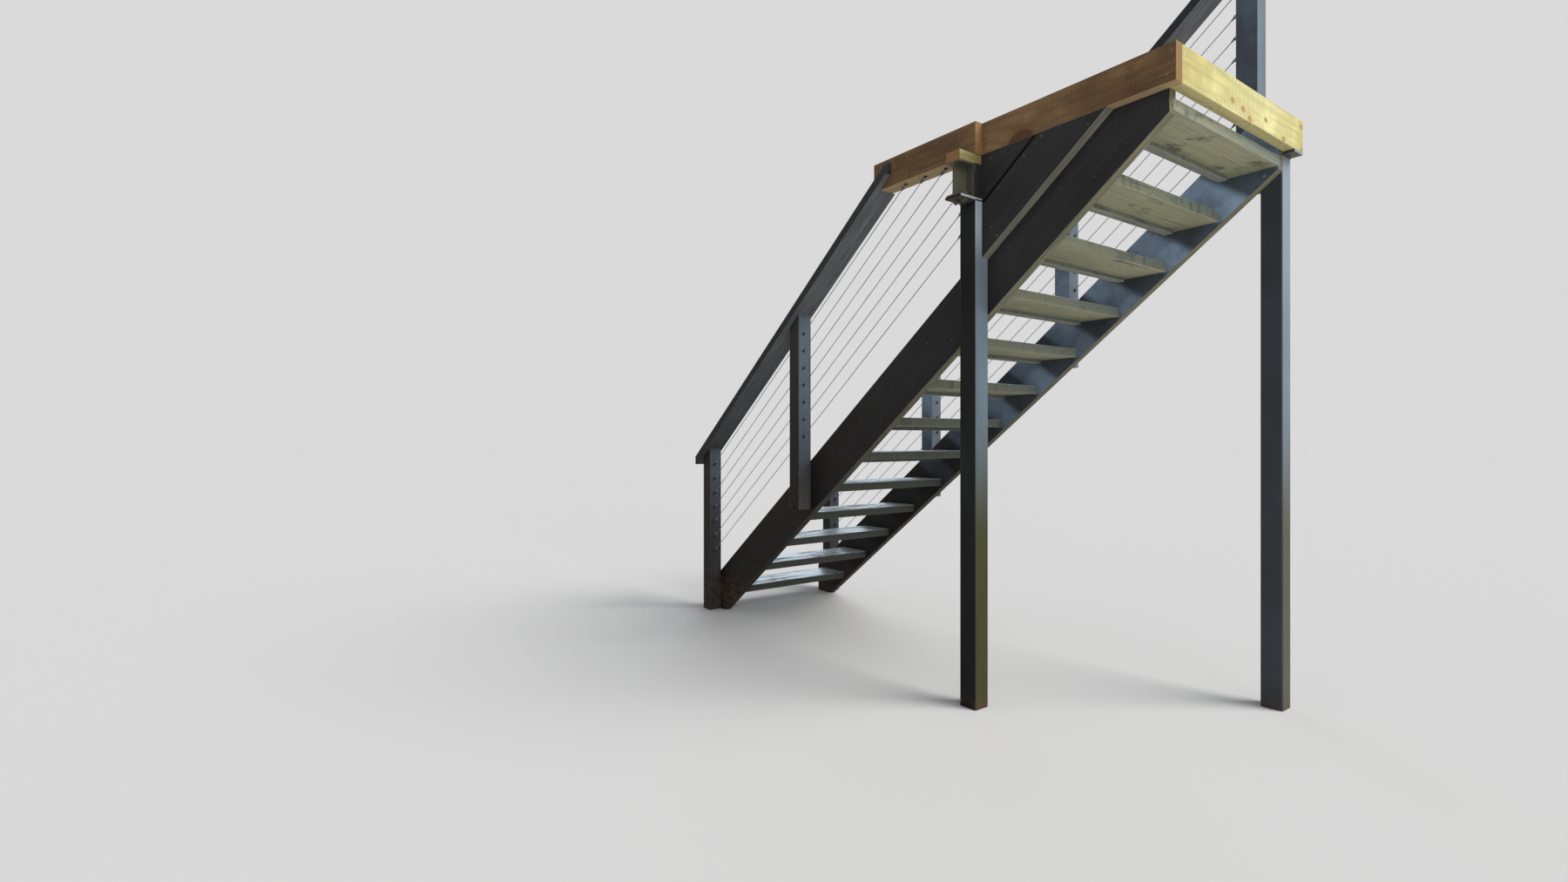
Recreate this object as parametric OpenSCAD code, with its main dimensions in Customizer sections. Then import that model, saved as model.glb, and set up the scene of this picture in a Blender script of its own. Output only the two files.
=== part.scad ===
/* [Flight] */
// Height from the floor to the upper deck surface
total_rise = 2610; // [2400:5:2800]
// Horizontal depth of one step
going = 240; // [225:1:260]
// Clear width between the two stringers
clear_w = 900; // [750:10:1100]

/* [Stringers] */
// Thickness of a stringer board
stringer_t = 45; // [35:1:50]
// Width of a stringer board, across the pitch
stringer_d = 250; // [240:1:300]
// Plumb height of the lower edge under the back corner of a tread
stringer_cover = 14.6; // [10:0.1:25]
// Depth of the housings that the treads sit in
housing_d = 12; // [6:1:15]

/* [Treads] */
// Thickness of a tread
tread_t = 45; // [35:1:50]
// Width of the strip under each front edge
nosing_strip_w = 40; // [25:1:60]
// Height of the strip under each front edge
nosing_strip_t = 20; // [12:1:30]
// Distance of the strip from the front edge
nosing_strip_setback = 12; // [0:1:30]
// Distance of the strip's ends from the stringers
nosing_strip_end_gap = 45; // [10:1:80]

/* [Timber posts] */
// Side of a square timber post
post_w = 90; // [70:1:100]
// Plumb cut of a post's foot above the stringer's lower edge
post_foot_up = 28; // [5:1:60]

/* [Handrails] */
// Width of the flat handrail board
rail_w = 140; // [125:1:160]
// Thickness of the handrail board
rail_t = 45; // [30:1:50]
// Plumb height of the handrail's underside over the nosing line
rail_h = 920; // [850:5:950]
// Overhang of the handrail past the newel post
rail_nose = 54; // [20:1:120]

/* [Board edges] */
// Rounding along the long edges of every board and post
arris_r = 3; // [1:0.5:6]

/* [Wires] */
// Diameter of a wire
wire_d = 4; // [3:0.5:5]
// Diameter of the holes that the wires pass through
wire_hole_d = 8; // [6:0.5:12]
// Number of wires on a side
wire_n = 7; // [5:1:7]
// Plumb height of the lowest wire over the nosing line
wire_h0 = 210; // [180:5:230]
// Plumb distance between two wires
wire_pitch = 100; // [90:1:100]

/* [Steel posts] */
// Side of a square steel post
steel_w = 89; // [75:1:100]
// Wall thickness of a steel post
steel_t = 4; // [3:0.5:6]
// Thickness of the cap and foot plates
cap_t = 10; // [6:1:12]
// Reach of the house side cap plate past its post
cap_reach = 95; // [80:1:120]

/* [Beam end] */
// Depth of the steel beam on the house side post
beam_d = 150; // [120:5:160]
// Width of the beam's flanges
beam_w = 75; // [65:1:85]

/* [Hidden] */
risers = 14;
treads = risers - 1;
rise = total_rise / risers;
slope = rise / going;
pitch = atan(slope);

stringer_drop = rise + tread_t + stringer_cover;

// Faces across the flight; +X is the house side
stringer_in = clear_w / 2;
stringer_out = stringer_in + stringer_t;
housed_w = stringer_in + housing_d;
wire_inset = 37;
wire_x = stringer_out + post_w - wire_inset;
steel_mid_x = stringer_out + steel_w / 2;

// The nosing of the first tread is at y = 0 in this frame, and flight_y moves it to the part's own origin
flight_end = treads * going;
joist_t = 45;
joist_d = 140;
decking_t = 22;
joist_top = total_rise - decking_t;
joist_bottom = joist_top - joist_d;
packer_t = 44;
clearance = 20;
beam_seat_z = joist_bottom - packer_t - beam_d;
flange_t = 7;
web_t = 5;
root_r = 8;
end_plate_t = 8;
cover_d = 190;
cover_joint = 4;
stringer_front = -71;
plumb = stringer_d / cos(pitch);

// Upper sides of the posts and ends of the trimmers and rail, up the flight from the first nosing; what
// stands near the middle is a share of the flight, and what stands at the head is set back from its end
newel_y = 19;
mid_house_y = 0.334 * flight_end;
lower_garden_y = 0.345 * flight_end;
upper_garden_y = 0.669 * flight_end;
top_garden_y = flight_end - 99;
steel_house_y = flight_end - 794;
cleat_gap = 10;
trimmer_start = flight_end - 1440;
rail_house_end = flight_end - 1320;
rail_inset = 15;
beam_mid_y = steel_house_y - steel_w / 2;

// Extents that place the origin at the middle of the footprint
rail_side = stringer_out - rail_inset + rail_w;
cap_side = stringer_out + steel_w + cap_reach;
rail_front = newel_y - post_w - rail_nose;
origin_x = (cap_side - rail_side) / 2;
origin_y = (rail_front + flight_end + joist_t) / 2;

timber_paint = "#2b2c2d";
steel_paint = "#3a3d40";
tread_wood = "#8b8b78";
pine = "#b39a5e";
steel = "#b8bcc0";

// Height of the line through the nosings, dz above or below it
function line_z(y, dz = 0) = rise + slope * y + dz;
// Where that line, dz above or below it, reaches a height
function line_y(z, dz = 0) = (z - rise - dz) / slope;

// The name of a tread's node
function tread_name(k) = str("tread_", k < 10 ? "0" : "", k);

// Moves the flight's own frame to the part's origin
module place() { translate([-origin_x, -origin_y, 0]) children(); }

// Turns a house side piece into its mirror image on the garden side
module garden() { mirror([1, 0, 0]) children(); }

// An outline drawn along the flight (y, z), from x0 to x1 across it
module across(x0, x1) {
    translate([x0, 0, 0]) rotate([90, 0, 90]) linear_extrude(x1 - x0) children();
}

module block(x, y, z) { translate([x[0], y[0], z[0]]) cube([x[1] - x[0], y[1] - y[0], z[1] - z[0]]); }

// A rectangle with rounded corners, one corner at the origin
module rounded_rect(w, h, r) {
    translate([r, 0]) square([w - 2 * r, h]);
    translate([0, r]) square([w, h - 2 * r]);
    for (x = [r, w - r], y = [r, h - r]) translate([x, y]) circle(r, $fn = 32);
}

// Boards with rounded long edges, between two faces each way: along X, along Y and upright
module board_x(x, y, z) {
    across(x[0], x[1]) translate([y[0], z[0]]) rounded_rect(y[1] - y[0], z[1] - z[0], arris_r);
}

module board_y(x, y, z) {
    translate([x[0], y[1], z[0]]) rotate([90, 0, 0]) linear_extrude(y[1] - y[0])
        rounded_rect(x[1] - x[0], z[1] - z[0], arris_r);
}

module board_z(x, y, z) {
    translate([x[0], y[0], z[0]]) linear_extrude(z[1] - z[0])
        rounded_rect(x[1] - x[0], y[1] - y[0], arris_r);
}

// A board laid to the pitch, its lower edge dz over the nosing line, cut plumb at y[0] and y[1],
// and level at the floor and at top_z
module pitched_board(x, y, dz, depth, top_z = 2 * total_rise) {
    start = y[0] - depth;
    intersection() {
        translate([x[0], start, line_z(start, dz)]) rotate([pitch - 90, 0, 0])
            linear_extrude((y[1] - start + depth) / cos(pitch))
                translate([0, -depth]) rounded_rect(x[1] - x[0], depth, arris_r);
        block(x, y, [0, top_z]);
    }
}

module stringer() {
    difference() {
        pitched_board([stringer_in, stringer_out], [stringer_front, flight_end], -stringer_drop,
            stringer_d, joist_top);
        for (k = [1:treads])
            block([-housed_w, housed_w], [(k - 1) * going, k * going], [k * rise - tread_t, k * rise]);
    }
}

module tread(k) {
    color(tread_wood) place()
        board_x([-housed_w, housed_w], [(k - 1) * going, k * going], [k * rise - tread_t, k * rise]);
}

module nosing_strips() {
    half_w = stringer_in - nosing_strip_end_gap;
    color(tread_wood) place() for (k = [1:treads])
        translate([0, (k - 1) * going + nosing_strip_setback, k * rise - tread_t - nosing_strip_t])
            board_x([-half_w, half_w], [0, nosing_strip_w], [0, nosing_strip_t]);
}

// Bores along the pitch for the wires, from y0 to y1
module wire_bores(y0, y1) {
    for (i = [0:wire_n - 1])
        translate([wire_x, y0, line_z(y0, wire_h0 + i * wire_pitch)]) rotate([pitch - 90, 0, 0])
            cylinder(h = (y1 - y0) / cos(pitch), d = wire_hole_d, $fn = 24);
}

// A timber post whose head is cut to the pitch under the handrail
module timber_post(y1, foot_z) {
    y0 = y1 - post_w;
    head_z = line_z(y1, rail_h);
    intersection() {
        board_z([stringer_out, stringer_out + post_w], [y0, y1], [foot_z, head_z]);
        across(stringer_out, stringer_out + post_w)
            polygon([[y0, foot_z], [y1, foot_z], [y1, head_z], [y0, line_z(y0, rail_h)]]);
    }
}

module bored_post(y1) {
    difference() {
        timber_post(y1, line_z(y1, post_foot_up - stringer_drop));
        wire_bores(y1 - post_w - clearance, y1 + clearance);
    }
}

module handrail_board(y1) {
    pitched_board([stringer_out - rail_inset, rail_side], [rail_front, y1], rail_h, rail_t);
}

// A wire with a swaged fitting at each end, cut off plumb at y0 and y1, and level at top_z
module wire(y0, y1, dz, top_z = 2 * total_rise) {
    fitting_r = 4;
    fitting_l = 70;
    taper = 8;
    length = (y1 - y0 + 2 * clearance) / cos(pitch);
    start = y0 - clearance;
    intersection() {
        translate([wire_x, start, line_z(start, dz)]) rotate([pitch - 90, 0, 0])
            rotate_extrude($fn = 24) polygon([[0, 0], [fitting_r, 0], [fitting_r, fitting_l],
                [wire_d / 2, fitting_l + taper], [wire_d / 2, length - fitting_l - taper],
                [fitting_r, length - fitting_l], [fitting_r, length], [0, length]]);
        block([stringer_out, stringer_out + post_w], [y0, y1], [0, top_z]);
    }
}

module stringer_house_side() { color(timber_paint) place() stringer(); }

module stringer_garden_side() { color(timber_paint) place() garden() stringer(); }

module newel_post_house_side() { color(timber_paint) place() timber_post(newel_y, 0); }

module newel_post_garden_side() { color(timber_paint) place() garden() timber_post(newel_y, 0); }

module mid_post_house_side() { color(timber_paint) place() bored_post(mid_house_y); }

module lower_post_garden_side() { color(timber_paint) place() garden() bored_post(lower_garden_y); }

module upper_post_garden_side() { color(timber_paint) place() garden() bored_post(upper_garden_y); }

module top_post_garden_side() {
    color(timber_paint) place() garden()
        timber_post(top_garden_y, line_z(top_garden_y, post_foot_up - stringer_drop));
}

// The upper end is notched round the trimmers and runs up beside them
module handrail_house_side() {
    color(timber_paint) place() difference() {
        handrail_board(rail_house_end);
        block([0, stringer_out + 2 * joist_t], [0, flight_end], [joist_bottom, joist_top + joist_d]);
    }
}

module handrail_garden_side() { color(timber_paint) place() garden() handrail_board(flight_end); }

// Where a house side wire ends: on the steel post, the block over it or the packer, or under the trimmer
function wire_end(dz) =
    let (post_y = steel_house_y - steel_w, packer_y = beam_mid_y - beam_w / 2)
    line_z(post_y, dz) < beam_seat_z + beam_d ? post_y
    : line_z(packer_y, dz) < joist_bottom ? packer_y
    : line_y(joist_bottom, dz) + clearance;

module wires_house_side() {
    color(steel) place() for (i = [0:wire_n - 1]) {
        dz = wire_h0 + i * wire_pitch;
        wire(newel_y, wire_end(dz), dz, joist_bottom);
    }
}

module wires_garden_side() {
    color(steel) place() garden() for (i = [0:wire_n - 1])
        wire(newel_y, top_garden_y - post_w, wire_h0 + i * wire_pitch);
}

// Two boards over the stringer close the gap under the trimmer; their lower ends stand on the steel post
module cover_board(dz, depth) {
    color(timber_paint) place()
        pitched_board([stringer_out, stringer_out + joist_t], [steel_house_y, flight_end], dz,
            depth, joist_bottom);
}

module cover_board_lower() { cover_board(0, cover_d); }

module cover_board_upper() { cover_board((cover_d + cover_joint) / cos(pitch), joist_bottom); }

// The cleat behind the cover boards, cut to the pitch on the stringer's upper edge
module cover_cleat() {
    y0 = steel_house_y + cleat_gap;
    y1 = y0 + post_w;
    upper_edge = plumb - stringer_drop;
    color(timber_paint) place() intersection() {
        board_z([stringer_in, stringer_out], [y0, y1], [line_z(y0, upper_edge), joist_top]);
        across(stringer_in, stringer_out) polygon([[y0, line_z(y0, upper_edge)],
            [y1, line_z(y1, upper_edge)], [y1, joist_top], [y0, joist_top]]);
    }
}

// It runs past the end of the rim joist
module inner_trimmer() {
    color(pine) place() board_y([stringer_out, stringer_out + joist_t],
        [trimmer_start, flight_end + joist_t], [joist_bottom, joist_top]);
}

module outer_trimmer() {
    color(pine) place() board_y([stringer_out + joist_t, stringer_out + 2 * joist_t],
        [trimmer_start, steel_house_y], [joist_bottom, joist_top]);
}

module deck_rim_joist() {
    color(pine) place() board_x([-stringer_out - steel_w, stringer_out],
        [flight_end, flight_end + joist_t], [joist_bottom, joist_top]);
}

// The section of the rolled beam (y, z), its foot at the origin
module beam_outline() {
    translate([-web_t / 2, 0]) square([web_t, beam_d]);
    for (top = [0, 1]) translate([0, top * beam_d]) mirror([0, top]) {
        translate([-beam_w / 2, 0]) square([beam_w, flange_t]);
        for (side = [0, 1]) mirror([side, 0]) translate([web_t / 2, flange_t]) difference() {
            square(root_r);
            translate([root_r, root_r]) circle(root_r, $fn = 32);
        }
    }
}

module steel_tube(h) {
    corner_r = 8;
    bore_w = steel_w - 2 * steel_t;
    linear_extrude(h) difference() {
        translate([-steel_w / 2, -steel_w / 2]) rounded_rect(steel_w, steel_w, corner_r);
        translate([-bore_w / 2, -bore_w / 2]) rounded_rect(bore_w, bore_w, corner_r - steel_t);
    }
}

// The end of the steel beam that the cap plate carries, closed by a plate beside the block
module beam_end() {
    x0 = stringer_out + steel_w;
    color(steel_paint) place() translate([0, beam_mid_y, beam_seat_z]) {
        across(x0, cap_side) beam_outline();
        block([x0, x0 + end_plate_t], [-beam_w / 2, beam_w / 2], [0, beam_d]);
    }
}

// The timber block that stands over the post between the beam's end and the cover boards
module end_block() {
    color(timber_paint) place() board_z([stringer_out, stringer_out + steel_w],
        [steel_house_y - steel_w, steel_house_y], [beam_seat_z, beam_seat_z + beam_d]);
}

module beam_packer() {
    color(pine) place() translate([0, beam_mid_y, joist_bottom - packer_t])
        board_x([stringer_out, cap_side], [-beam_w / 2, beam_w / 2], [0, packer_t]);
}

// A square steel post closed by a foot plate, under a cap plate that reaches past it along x or y
module steel_post(h, reach_x, reach_y) {
    half = steel_w / 2;
    bore = half - steel_t;
    steel_tube(h - cap_t);
    block([-bore, bore], [-bore, bore], [0, cap_t]);
    block([-half, half + reach_x], [-half, half + reach_y], [h - cap_t, h]);
}

module steel_post_house_side() {
    color(steel_paint) place() translate([steel_mid_x, beam_mid_y, 0])
        steel_post(beam_seat_z, cap_reach, 0);
}

// Its cap plate reaches under the end of the rim joist
module steel_post_garden_side() {
    color(steel_paint) place() garden() translate([steel_mid_x, flight_end - steel_w / 2, 0])
        steel_post(joist_bottom, 0, joist_t);
}

for (k = [1:treads]) tread(k);
stringer_house_side();
stringer_garden_side();
nosing_strips();
newel_post_house_side();
mid_post_house_side();
handrail_house_side();
wires_house_side();
newel_post_garden_side();
lower_post_garden_side();
upper_post_garden_side();
top_post_garden_side();
handrail_garden_side();
wires_garden_side();
cover_board_lower();
cover_board_upper();
cover_cleat();
inner_trimmer();
outer_trimmer();
deck_rim_joist();
beam_end();
end_block();
beam_packer();
steel_post_house_side();
steel_post_garden_side();
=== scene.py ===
import math

import bmesh
import bpy
from mathutils import Matrix, Vector


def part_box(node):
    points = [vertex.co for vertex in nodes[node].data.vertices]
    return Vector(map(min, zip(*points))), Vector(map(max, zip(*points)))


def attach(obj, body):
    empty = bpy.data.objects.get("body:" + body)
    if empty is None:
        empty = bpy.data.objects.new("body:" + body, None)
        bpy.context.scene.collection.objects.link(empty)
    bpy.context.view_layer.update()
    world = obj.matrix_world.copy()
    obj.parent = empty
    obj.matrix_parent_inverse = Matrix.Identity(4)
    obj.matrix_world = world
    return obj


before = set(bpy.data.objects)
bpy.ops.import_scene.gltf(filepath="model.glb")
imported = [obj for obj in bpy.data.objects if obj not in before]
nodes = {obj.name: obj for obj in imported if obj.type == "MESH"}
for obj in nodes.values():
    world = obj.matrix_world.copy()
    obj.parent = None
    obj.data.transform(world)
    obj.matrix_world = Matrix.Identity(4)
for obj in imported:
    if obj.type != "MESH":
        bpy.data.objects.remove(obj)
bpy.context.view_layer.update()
bpy.ops.object.select_all(action="DESELECT")


# The two stringers are 45 mm boards laid to the pitch, with a housing for each tread.
# Two coats of charcoal paint cover the sawn grain; dust lies on the upper edge and mud splashes have
# browned the foot. The coat is painted darker low down as painted shade, the upper arrises carry a
# painted glint, and the undersides are paler, partly thin paint and partly painted light from below.
# The garden side's inner face has painted sky light in slanted bands between the treads, with painted
# shade under each tread.
class Tone:
    """One value in a material. A sum or a product of tones lays the Math nodes for it."""

    def __init__(self, tree, socket):
        self.tree, self.socket = tree, socket

    def _math(self, operation, *terms):
        node = self.tree.nodes.new("ShaderNodeMath")
        node.operation = operation
        for slot, term in zip(node.inputs, terms):
            plug(self.tree, slot, term)
        return Tone(self.tree, node.outputs[0])

    def __add__(self, other):
        return self._math("ADD", self, other)

    def __radd__(self, other):
        return self._math("ADD", other, self)

    def __sub__(self, other):
        return self._math("SUBTRACT", self, other)

    def __rsub__(self, other):
        return self._math("SUBTRACT", other, self)

    def __mul__(self, other):
        return self._math("MULTIPLY", self, other)

    def __rmul__(self, other):
        return self._math("MULTIPLY", other, self)

    def __pow__(self, other):
        return self._math("POWER", self, other)

    def wave(self):
        return self._math("SINE", self)

    def size(self):
        return self._math("ABSOLUTE", self)

    def clip(self):
        tone = self._math("MULTIPLY", self, 1.0)
        tone.socket.node.use_clamp = True
        return tone

    def rise(self, low, high):
        """0 below low, 1 above high, smooth between."""
        node = self.tree.nodes.new("ShaderNodeMapRange")
        node.interpolation_type = "SMOOTHSTEP"
        for slot, term in zip(node.inputs, (self, low, high)):
            plug(self.tree, slot, term)
        return Tone(self.tree, node.outputs[0])


def plug(tree, slot, term):
    """Links a tone to a socket, or sets a plain value on it."""
    if isinstance(term, Tone):
        tree.links.new(term.socket, slot)
    else:
        slot.default_value = term


class Finish:
    """A procedural material, laid node by node, on a Principled shader."""

    def __init__(self, name):
        self.material = bpy.data.materials.new(name)
        self.material.use_nodes = True
        self.tree = self.material.node_tree
        self.shader = self.tree.nodes["Principled BSDF"]

    def node(self, kind, settings=None, out=None, **sockets):
        """Lays a node: its settings first, then its sockets. Gives the output called out, or the first."""
        node = self.tree.nodes.new(kind)
        for key, value in (settings or {}).items():
            setattr(node, key, value)
        for key, term in sockets.items():
            slot = next(s for s in node.inputs if s.enabled and s.name.replace(" ", "_") == key)
            plug(self.tree, slot, term)
        return Tone(self.tree, next(s for s in node.outputs if s.enabled and out in (None, s.name)))

    def at(self, turn=(0, 0, 0), stretch=(1, 1, 1)):
        """Object coordinates, turned so that Y runs along the board, then stretched."""
        place = self.node("ShaderNodeTexCoord", out="Object")
        turned = self.node("ShaderNodeMapping", Vector=place, Rotation=turn)
        return self.node("ShaderNodeMapping", Vector=turned, Scale=stretch)

    def noise(self, where, scale, detail=4.0, rough=0.55):
        return self.node("ShaderNodeTexNoise", Vector=where, Scale=scale, Detail=detail, Roughness=rough)

    def mix(self, mask, low, high):
        return self.node("ShaderNodeMix", {"data_type": "RGBA"}, out="Result",
                         Factor=mask, A=self.colour(low), B=self.colour(high))

    def colour(self, value):
        return value if isinstance(value, Tone) else (*value, 1.0)

    def facing(self, turn=(0, 0, 0)):
        """The face's direction in the board's own frame, as three tones."""
        normal = self.node("ShaderNodeTexCoord", out="Normal")
        turned = self.node("ShaderNodeMapping", {"vector_type": "VECTOR"}, Vector=normal, Rotation=turn)
        return self.part(turned)

    def part(self, vector):
        """A vector's x, y and z."""
        split = self.node("ShaderNodeSeparateXYZ", Vector=vector).socket.node
        return [Tone(self.tree, socket) for socket in split.outputs]

    def finish(self, colour, rough, height=None, depth=0.001, metal=0.0, gloss=0.5):
        plug(self.tree, self.shader.inputs["Base Color"], self.colour(colour))
        plug(self.tree, self.shader.inputs["Roughness"], rough)
        plug(self.tree, self.shader.inputs["Metallic"], metal)
        self.shader.inputs["Specular IOR Level"].default_value = gloss
        if height is not None:
            bump = self.node("ShaderNodeBump", Height=height, Strength=1.0, Distance=depth)
            plug(self.tree, self.shader.inputs["Normal"], bump)
        return self.material


def deeper(colour, *share):
    """A colour times one number, or times a number for each of red, green and blue."""
    return tuple(c * s for c, s in zip(colour, share * 3 if len(share) == 1 else share))


def dress(material, *names):
    for name in names:
        mesh = nodes[name].data
        mesh.materials.clear()
        mesh.materials.append(material)
        mesh.polygons.foreach_set("material_index", [0] * len(mesh.polygons))


DECK_HEIGHT, RISERS = 2.610, 14
RISE, GOING, FLIGHT_Y = DECK_HEIGHT / RISERS, 0.240, -1.520
PITCH = math.atan2(RISE, GOING)
TO_PITCH = (-PITCH, 0, 0)
# the tilt of the light that comes between the treads, and its band's middle, as a share of a step
RAY_TILT, RAY_MIDDLE = math.radians(36), 0.10


def painted_inner_light(f, lit_inner, banded):
    """Painted light on an inner face, weaker low down as painted shade: unbanded, also weaker near the top;
    banded, in slanted lit bands where sky light comes between the treads, with painted shade under each
    tread.
    """
    _, along, height = f.part(f.at())
    lit = lit_inner * (0.04 + height.rise(0.8, 1.7) * 0.96)
    if not banded:
        return lit * (1 - height.rise(2.05, 2.35) * 0.75)
    sin, cos = math.sin(RAY_TILT), math.cos(RAY_TILT)
    step = GOING * sin + RISE * cos
    first = (FLIGHT_Y + GOING) * sin + RISE * cos + RAY_MIDDLE * step
    turns = (along * sin + height * cos - first) * (2 * math.pi / step)
    between = (turns + math.pi / 2).wave().rise(-0.35, 0.60)
    return lit * (0.18 + between * 0.82) * (0.78 + height.rise(1.7, 2.4) * 0.57)


def charcoal_paint(name, turn, under=(0.250, 0.235, 0.155), bare_end=0.0, face_sky_light=0.0, warm_bounce_low=0.0,
                   bloom_and_inner_light=0.0, glint_share=0.5, banded=False, joint=None):
    """Brushed paint on sawn timber, the bare wood's colour coming through where it is thin, with painted
    light and shade.
    """
    f = Finish(name)
    where = f.at(turn)
    broad = f.noise(where, 2.3, 3.0)
    brushed = f.noise(f.at(turn, (55, 2.2, 55)), 1.0, 5.0, 0.6)
    grain = f.noise(f.at(turn, (150, 4.5, 150)), 1.0, 4.0)
    blotch = f.noise(where, 17.0, 6.0, 0.62)
    side, _, up = f.facing(turn)
    outward, toward, level = f.facing()
    off_middle, _, height = f.part(f.at())
    garden = (0 - off_middle).rise(0.20, 0.40)
    # the coat, painted darker and browner low down as painted shade
    coat = f.mix((broad * 0.55 + brushed * 0.45).rise(0.32, 0.68),
                 (0.0210, 0.0210, 0.0220), (0.0370, 0.0370, 0.0385))
    painted_low_shade = f.mix((1 - height.rise(0.10, 2.6)) * 0.92, coat, (0.0078, 0.0056, 0.0022))
    # painted sky light on the faces that look up the flight: warm low down as painted bounce light,
    # blue-grey above, stronger on the garden side and weaker low down as painted shade; and painted light
    # on inner faces
    warm_bounce = (1 - height.rise(0.60, 1.20)) * warm_bounce_low
    patchy = (0.25 + broad * 0.35 + brushed * 0.40).clip()
    by_height = (0.20 + height.rise(0.4, 1.6) * 0.80 + warm_bounce * 0.40).clip()
    sky_light_and_chalk = toward.rise(0.50, 0.95) * patchy * by_height
    blue = f.mix(garden, (0.130, 0.162, 0.205), (0.210, 0.272, 0.335))
    sky_lit_and_chalky = f.mix(sky_light_and_chalk * face_sky_light, painted_low_shade, f.mix(warm_bounce, blue, (0.185, 0.165, 0.115)))
    cloudy = f.noise(where, 5.0, 4.0, 0.6).rise(0.38, 0.62)
    lit_inner = garden * outward.rise(0.50, 0.90) * (0.33 + cloudy * 0.35 + brushed * 0.25)
    painted_sky_light = f.mix((painted_inner_light(f, lit_inner, banded) * bloom_and_inner_light).clip(), sky_lit_and_chalky, (0.365, 0.500, 0.660))
    # scuffs, arrises rubbed paler, and a painted glint along the upper arrises
    scuffs = (blotch * 0.6 + brushed * 0.4).rise(0.58, 0.74)
    scuffed = f.mix(scuffs * 0.40, painted_sky_light, (0.050, 0.051, 0.053))
    arris = (side * up).size().rise(0.16, 0.42) * f.noise(where, 23.0, 5.0).rise(0.42, 0.62)
    worn = f.mix(arris * 0.6, scuffed, (0.098, 0.096, 0.088))
    glint = (side.size() * up).rise(0.05, 0.35) * f.noise(where, 31.0, 4.0).rise(0.30, 0.52) * glint_share
    # the undersides painted paler: thin paint with the wood's colour through it, and painted light from
    # below, more of it higher up
    underside_film_and_bounce = (0 - level).rise(0.35, 0.75) * (0.55 + brushed * 0.75).clip()
    underside_film_and_bounce = underside_film_and_bounce * (0.06 + height.rise(0.60, 1.5) * 0.40 + height.rise(1.1, 2.4) * 0.54)
    if joint is not None:
        # a dark line along the joint between two boards: dirt and painted shade
        _, _, across_pitch = f.part(where)
        away = (across_pitch - joint).size().rise(0.005, 0.008)
        underside_film_and_bounce, glint = underside_film_and_bounce * away, glint * away
        worn = f.mix(away, (0.004, 0.004, 0.004), worn)
    # the painted glint: a pale blue-grey highlight along the upper arrises
    glinted = f.mix(glint, worn, (0.600, 0.650, 0.690))
    undersides_thin_and_lit = f.mix(underside_film_and_bounce, glinted, f.mix(grain.rise(0.40, 0.66), deeper(under, 0.62), under))
    # dust and specks on top, mud at the foot, raw wood on a sawn end
    dust = level.rise(0.35, 0.85) * (0.30 + blotch * 0.60)
    dusty = f.mix(dust, undersides_thin_and_lit, (0.150, 0.158, 0.165))
    fleck = f.node("ShaderNodeTexVoronoi", out="Distance", Vector=where, Scale=46.0)
    chosen = f.noise(where, 9.0, 1.0).rise(0.66, 0.70)
    specks = f.mix((1 - fleck.rise(0.05, 0.09)) * chosen, dusty, (0.24, 0.24, 0.23))
    splash = (1 - height.rise(0.02, 0.42)) * f.noise(where, 31.0, 5.0).rise(0.34, 0.62)
    muddy = f.mix(splash * 0.75, specks, (0.078, 0.052, 0.037))
    fibres = f.noise(f.at(turn, (170, 0, 60)), 1.0, 4.0, 0.6)
    raw = f.mix(fibres.rise(0.40, 0.62), (0.060, 0.052, 0.028), (0.290, 0.275, 0.170))
    colour = f.mix(toward.rise(0.90, 0.98) * bare_end, muddy, raw)
    rough = (0.44 + blotch * 0.16 + dust * 0.30 + splash * 0.3 + underside_film_and_bounce * 0.15).clip()
    return f.finish(colour, rough, grain * 0.7 + brushed * 0.5 + blotch * 0.25, 0.0011, gloss=0.10)


# the garden side's inner face gets painted light in bands between the treads
dress(charcoal_paint("charcoal_paint_stringers", TO_PITCH, (0.300, 0.285, 0.185), bare_end=0.9, bloom_and_inner_light=0.9,
                     glint_share=1.0, banded=True),
      "stringer_house_side", "stringer_garden_side")


# Thirteen treads and the strip under each front edge are bare boards that have weathered.
# Their undersides are olive and beige with knots, checks and dark water stains; their tops are
# blue-grey and rough, where rain and feet have raised the grain.
def timber_lines(f, turn, ring, knots, through=False):
    """Growth lines along the board that run round its knots: (lines, knot, halo)."""
    across, along, up = f.part(f.at(turn))
    if through:
        seat = f.node("ShaderNodeCombineXYZ", X=along * (knots * 0.6), Y=up * knots)
    else:
        seat = f.at(turn, (knots, knots * 0.42, knots))
    cell = f.node("ShaderNodeTexVoronoi", {"voronoi_dimensions": "2D" if through else "3D"},
                  out="Distance", Vector=seat, Scale=1.0)
    wobble = f.noise(f.at(turn, (1, 0.35, 1)), 9.0, 3.0)
    near = cell + (wobble - 0.5) * 0.06
    halo = 1 - near.rise(0.04, 0.30)
    knot = 1 - near.rise(0.075, 0.115)
    drift = f.noise(f.at(turn, (1.0, 0.16, 1.0)), 5.0, 4.0, 0.5)
    turns = (across * 0.8 + up * 0.9 + drift * 0.22 + halo * 0.05) * (ring * 6.2)
    return turns.wave() * 0.5 + 0.5, knot, halo


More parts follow.
